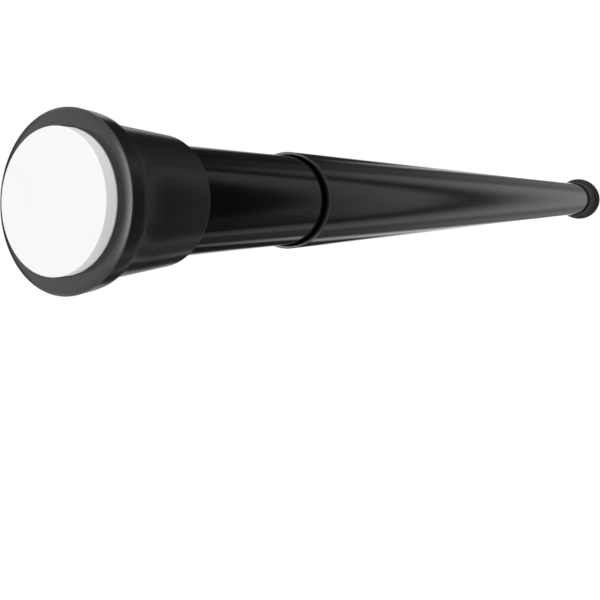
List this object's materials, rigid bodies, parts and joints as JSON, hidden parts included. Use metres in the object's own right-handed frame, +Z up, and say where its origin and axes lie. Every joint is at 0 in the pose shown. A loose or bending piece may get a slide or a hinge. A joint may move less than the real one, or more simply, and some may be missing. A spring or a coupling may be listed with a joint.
{
  "type": "spring tension rod",
  "caption": "Telescopic tension rod with flanged end caps and rubber wall pads; twisting lengthens it on an inner screw and a spring presses it between two walls.",
  "frame": {"origin": "centre of the wall pad's face at the fixed end, which is the outer tube's end", "axes": "+X along the rod towards the moving end, +Z up"},
  "size_m": [0.62, 0.0372, 0.0372],
  "materials": {
    "black_tube": "gloss black enamel on steel tube",
    "black_cap": "semi-gloss black moulded plastic",
    "black_bush": "satin black moulded plastic",
    "white_pad": "smooth white rubber",
    "zinc_steel": "zinc-plated steel",
    "spring_steel": "drawn spring wire",
    "natural_plastic": "natural moulded acetal"
  },
  "bodies": {
    "outer": {"outer_tube": "black_tube", "fixed_end_cap": "black_cap", "fixed_wall_pad": "white_pad", "mouth_bush": "black_bush", "anchor_plug": "natural_plastic", "anchor_pins": "zinc_steel", "compression_spring": "spring_steel"},
    "screw": {"lead_screw": "zinc_steel", "tail_nut": "zinc_steel", "tail_washer": "zinc_steel", "spring_seat": "natural_plastic", "seat_pin": "zinc_steel", "tip_guide": "natural_plastic", "tip_washer": "zinc_steel", "tip_nut": "zinc_steel"},
    "carriage": {"glide_ring": "natural_plastic"},
    "inner": {"inner_tube": "black_tube", "drive_nut": "natural_plastic", "drive_nut_pins": "zinc_steel", "moving_end_cap": "black_cap", "moving_wall_pad": "white_pad"}
  },
  "joints": [
    {"name": "spring_stroke", "type": "slide", "parent": "outer", "child": "screw", "axis": [1, 0, 0], "range_m": [-0.015, 0], "stiffness_N_per_m": 3000, "springref_m": 0.014, "deforming": ["compression_spring"]},
    {"name": "extension", "type": "slide", "parent": "screw", "child": "carriage", "axis": [1, 0, 0], "range_m": [-0.02, 0.38]},
    {"name": "twist", "type": "hinge", "parent": "carriage", "child": "inner", "pos_m": [0.13, 0, 0], "axis": [1, 0, 0], "range_deg": [-900, 17100]}
  ],
  "couplings": [
    {"joint": "extension", "follows": "twist", "m_per_rad": 0.0012732}
  ]
}
